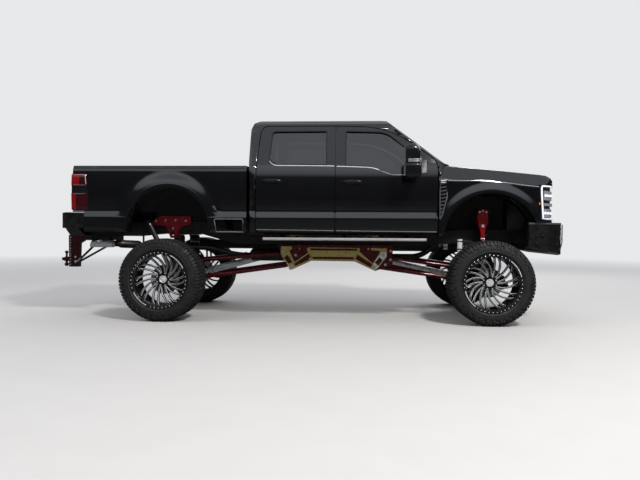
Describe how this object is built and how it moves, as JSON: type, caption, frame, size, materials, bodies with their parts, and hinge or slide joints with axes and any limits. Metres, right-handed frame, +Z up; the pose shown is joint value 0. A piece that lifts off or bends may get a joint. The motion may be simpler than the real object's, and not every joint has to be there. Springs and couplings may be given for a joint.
{
  "type": "lifted four-door pickup truck",
  "caption": "Lifted four-door pickup truck with wide tyres, a link suspension, opening doors, hood and tailgate.",
  "frame": {"origin": "on the ground under the middle of the truck's length and width", "axes": "+X to the nose, +Y to the truck's left side, +Z up"},
  "size_m": [6.853, 2.74, 2.605],
  "materials": {
    "black_paint": "gloss black paint with dust",
    "wheel_black": "gloss black with machined edges",
    "tyre": "matt black rubber with dust",
    "frame_black": "satin black",
    "red_coat": "dark red gloss coat",
    "gold_coat": "metallic gold coat",
    "machined_steel": "machined",
    "driveline": "bare aluminium",
    "cast_metal": "dusty casting",
    "exhaust_metal": "heat-tinted steel",
    "air_bag": "ribbed rubber",
    "tank": "moulded",
    "glass": "dark tint",
    "trim_black": "grained",
    "seat_cloth": "dark cloth",
    "lamp_lens": "smoked lens",
    "tail_lens": "red lens",
    "bumper_black": "textured black"
  },
  "bodies": {
    "chassis": {"frame_rails": "frame_black", "crossmembers": "frame_black", "front_axle": "cast_metal", "rear_axle": "cast_metal", "suspension_links": "red_coat", "link_mounts": "red_coat", "link_mount_faces": "gold_coat", "air_springs": "air_bag", "spring_towers": "red_coat", "shocks": "machined_steel", "engine": "cast_metal", "radiator": "trim_black", "gearbox": "driveline", "driveshafts": "driveline", "fuel_tank": "tank", "exhaust": "exhaust_metal", "cab": "black_paint", "cab_glass": "glass", "dashboard": "trim_black", "steering_wheel": "trim_black", "front_seats": "seat_cloth", "rear_bench": "seat_cloth", "fenders": "black_paint", "headlamps": "lamp_lens", "grille": "trim_black", "front_bumper": "bumper_black", "bed": "black_paint", "tail_lamps": "tail_lens", "rear_bumper": "bumper_black", "hitch": "red_coat", "steps": "trim_black"},
    "hood": {"hood": "black_paint"},
    "tailgate": {"tailgate": "black_paint"},
    "tie_rod": {"tie_rod": "machined_steel"},
    "knuckle_left": {"knuckle_left": "cast_metal"},
    "front_door_left": {"front_door_left": "black_paint", "front_door_glass_left": "glass", "mirror_left": "trim_black"},
    "rear_door_left": {"rear_door_left": "black_paint", "rear_door_glass_left": "glass"},
    "wheel_front_left": {"wheel_front_left": "wheel_black", "tyre_front_left": "tyre"},
    "wheel_rear_left": {"wheel_rear_left": "wheel_black", "tyre_rear_left": "tyre"},
    "knuckle_right": {"knuckle_right": "cast_metal"},
    "front_door_right": {"front_door_right": "black_paint", "front_door_glass_right": "glass", "mirror_right": "trim_black"},
    "rear_door_right": {"rear_door_right": "black_paint", "rear_door_glass_right": "glass"},
    "wheel_front_right": {"wheel_front_right": "wheel_black", "tyre_front_right": "tyre"},
    "wheel_rear_right": {"wheel_rear_right": "wheel_black", "tyre_rear_right": "tyre"}
  },
  "joints": [
    {"name": "steer_left", "type": "hinge", "parent": "chassis", "child": "knuckle_left", "pos_m": [2.4365, 0.77, 0.515], "axis": [0, 0, 1], "range_deg": [-30, 30]},
    {"name": "wheel_front_left_spin", "type": "hinge", "parent": "knuckle_left", "child": "wheel_front_left", "pos_m": [2.4365, 0.995, 0.515], "axis": [0, 1, 0], "continuous": true},
    {"name": "wheel_rear_left_spin", "type": "hinge", "parent": "chassis", "child": "wheel_rear_left", "pos_m": [-1.6235, 0.995, 0.515], "axis": [0, 1, 0], "continuous": true},
    {"name": "front_door_left_hinge", "type": "hinge", "parent": "chassis", "child": "front_door_left", "pos_m": [1.7865, 1, 1.6], "axis": [0, 0, -1], "range_deg": [0, 65]},
    {"name": "rear_door_left_hinge", "type": "hinge", "parent": "chassis", "child": "rear_door_left", "pos_m": [0.5205, 1, 1.6], "axis": [0, 0, -1], "range_deg": [0, 65]},
    {"name": "steer_right", "type": "hinge", "parent": "chassis", "child": "knuckle_right", "pos_m": [2.4365, -0.77, 0.515], "axis": [0, 0, 1], "range_deg": [-30, 30]},
    {"name": "wheel_front_right_spin", "type": "hinge", "parent": "knuckle_right", "child": "wheel_front_right", "pos_m": [2.4365, -0.995, 0.515], "axis": [0, 1, 0], "continuous": true},
    {"name": "wheel_rear_right_spin", "type": "hinge", "parent": "chassis", "child": "wheel_rear_right", "pos_m": [-1.6235, -0.995, 0.515], "axis": [0, 1, 0], "continuous": true},
    {"name": "front_door_right_hinge", "type": "hinge", "parent": "chassis", "child": "front_door_right", "pos_m": [1.7865, -1, 1.6], "axis": [0, 0, 1], "range_deg": [0, 65]},
    {"name": "rear_door_right_hinge", "type": "hinge", "parent": "chassis", "child": "rear_door_right", "pos_m": [0.5205, -1, 1.6], "axis": [0, 0, 1], "range_deg": [0, 65]},
    {"name": "tie_rod_pivot", "type": "hinge", "parent": "knuckle_left", "child": "tie_rod", "pos_m": [2.6965, 0.77, 0.49], "axis": [0, 0, 1], "range_deg": [-30, 30]},
    {"name": "hood_hinge", "type": "hinge", "parent": "chassis", "child": "hood", "pos_m": [1.9165, 0, 1.98], "axis": [0, -1, 0], "range_deg": [0, 50]},
    {"name": "tailgate_hinge", "type": "hinge", "parent": "chassis", "child": "tailgate", "pos_m": [-2.7755, 0, 1.41], "axis": [0, -1, 0], "range_deg": [0, 90]}
  ],
  "couplings": [
    {"joint": "steer_right", "follows": "steer_left", "ratio": 1},
    {"joint": "tie_rod_pivot", "follows": "steer_left", "ratio": -1}
  ]
}
